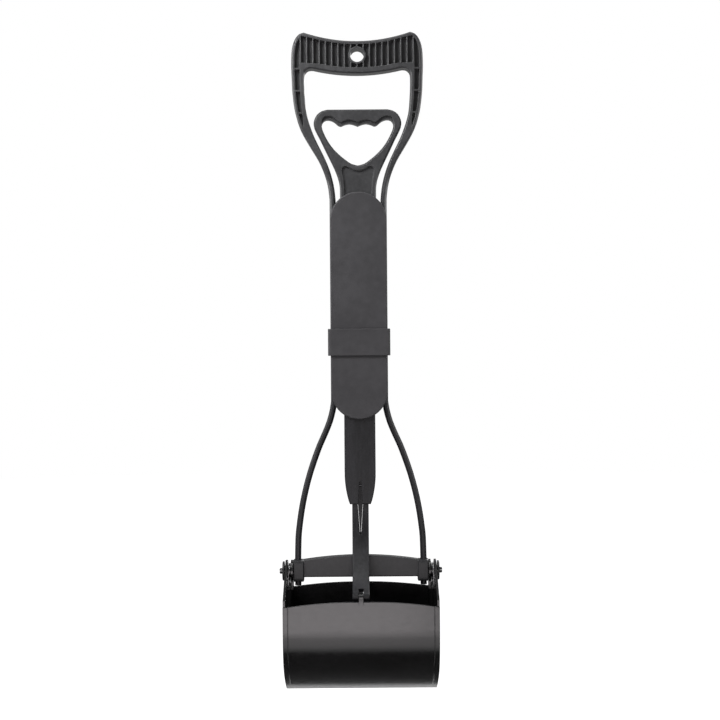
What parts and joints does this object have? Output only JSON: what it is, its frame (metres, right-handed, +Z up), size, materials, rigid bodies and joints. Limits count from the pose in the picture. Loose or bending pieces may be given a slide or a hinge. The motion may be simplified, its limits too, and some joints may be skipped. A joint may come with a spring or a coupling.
{
  "type": "pooper scooper",
  "caption": "Long-handled pooper scooper whose pull-up trigger lifts a bar and links that swing open spring-closed clamshell jaws.",
  "frame": {"origin": "centre of the hanging hole in the top of the handle, at mid thickness", "axes": "+Z up along the handle and legs, +X to the right seen from the front, the front faces -Y"},
  "size_m": [0.176, 0.13, 0.709],
  "materials": {
    "moulded_plastic": "black satin moulded plastic",
    "cover_plastic": "dark grey fine-grained plastic",
    "bar_plastic": "dark grey satin plastic",
    "jaw_plastic": "black polished plastic",
    "dark_steel": "blackened steel",
    "zinc_steel": "zinc plated steel"
  },
  "bodies": {
    "frame": {"handle_frame": "moulded_plastic", "left_leg": "moulded_plastic", "right_leg": "moulded_plastic", "front_cover": "cover_plastic", "rear_cover": "cover_plastic", "collar_band": "cover_plastic", "cover_screw_1": "zinc_steel", "cover_screw_2": "zinc_steel", "cover_screw_3": "zinc_steel", "cover_screw_4": "zinc_steel", "cover_screw_5": "zinc_steel", "cover_screw_6": "zinc_steel", "hinge_yoke": "moulded_plastic", "left_hinge_pin": "dark_steel", "right_hinge_pin": "dark_steel", "left_hinge_disc": "moulded_plastic", "right_hinge_disc": "moulded_plastic", "left_torsion_spring": "zinc_steel", "right_torsion_spring": "zinc_steel"},
    "trigger": {"trigger_grip": "moulded_plastic", "pull_bar": "bar_plastic", "neck_screw_1": "zinc_steel", "neck_screw_2": "zinc_steel", "front_link_pin": "dark_steel", "rear_link_pin": "dark_steel"},
    "front_link": {"front_link": "moulded_plastic", "front_jaw_pin": "dark_steel"},
    "rear_link": {"rear_link": "moulded_plastic", "rear_jaw_pin": "dark_steel"},
    "front_jaw": {"front_jaw": "jaw_plastic"},
    "rear_jaw": {"rear_jaw": "jaw_plastic"}
  },
  "joints": [
    {"name": "trigger_pull", "type": "slide", "parent": "frame", "child": "trigger", "axis": [0, 0, 1], "range_m": [0, 0.032]},
    {"name": "front_jaw_swing", "type": "hinge", "parent": "frame", "child": "front_jaw", "pos_m": [0, 0, -0.5565], "axis": [-1, 0, 0], "range_deg": [0, 31], "stiffness_Nm_per_rad": 0.35, "springref_deg": -28.65, "deforming": ["left_torsion_spring", "right_torsion_spring"]},
    {"name": "rear_jaw_swing", "type": "hinge", "parent": "frame", "child": "rear_jaw", "pos_m": [0, 0, -0.5565], "axis": [1, 0, 0], "range_deg": [0, 31], "stiffness_Nm_per_rad": 0.35, "springref_deg": -28.65, "deforming": ["left_torsion_spring", "right_torsion_spring"]},
    {"name": "front_link_swing", "type": "hinge", "parent": "trigger", "child": "front_link", "pos_m": [0, -0.0034, -0.464], "axis": [-1, 0, 0], "range_deg": [0, 1.2]},
    {"name": "rear_link_swing", "type": "hinge", "parent": "trigger", "child": "rear_link", "pos_m": [0, 0.0034, -0.464], "axis": [1, 0, 0], "range_deg": [0, 1.2]}
  ],
  "couplings": [
    {"joint": "front_jaw_swing", "follows": "trigger_pull", "rad_per_m": 16.74},
    {"joint": "rear_jaw_swing", "follows": "trigger_pull", "rad_per_m": 16.74},
    {"joint": "front_link_swing", "follows": "trigger_pull", "rad_per_m": 0.6},
    {"joint": "rear_link_swing", "follows": "trigger_pull", "rad_per_m": 0.6}
  ]
}
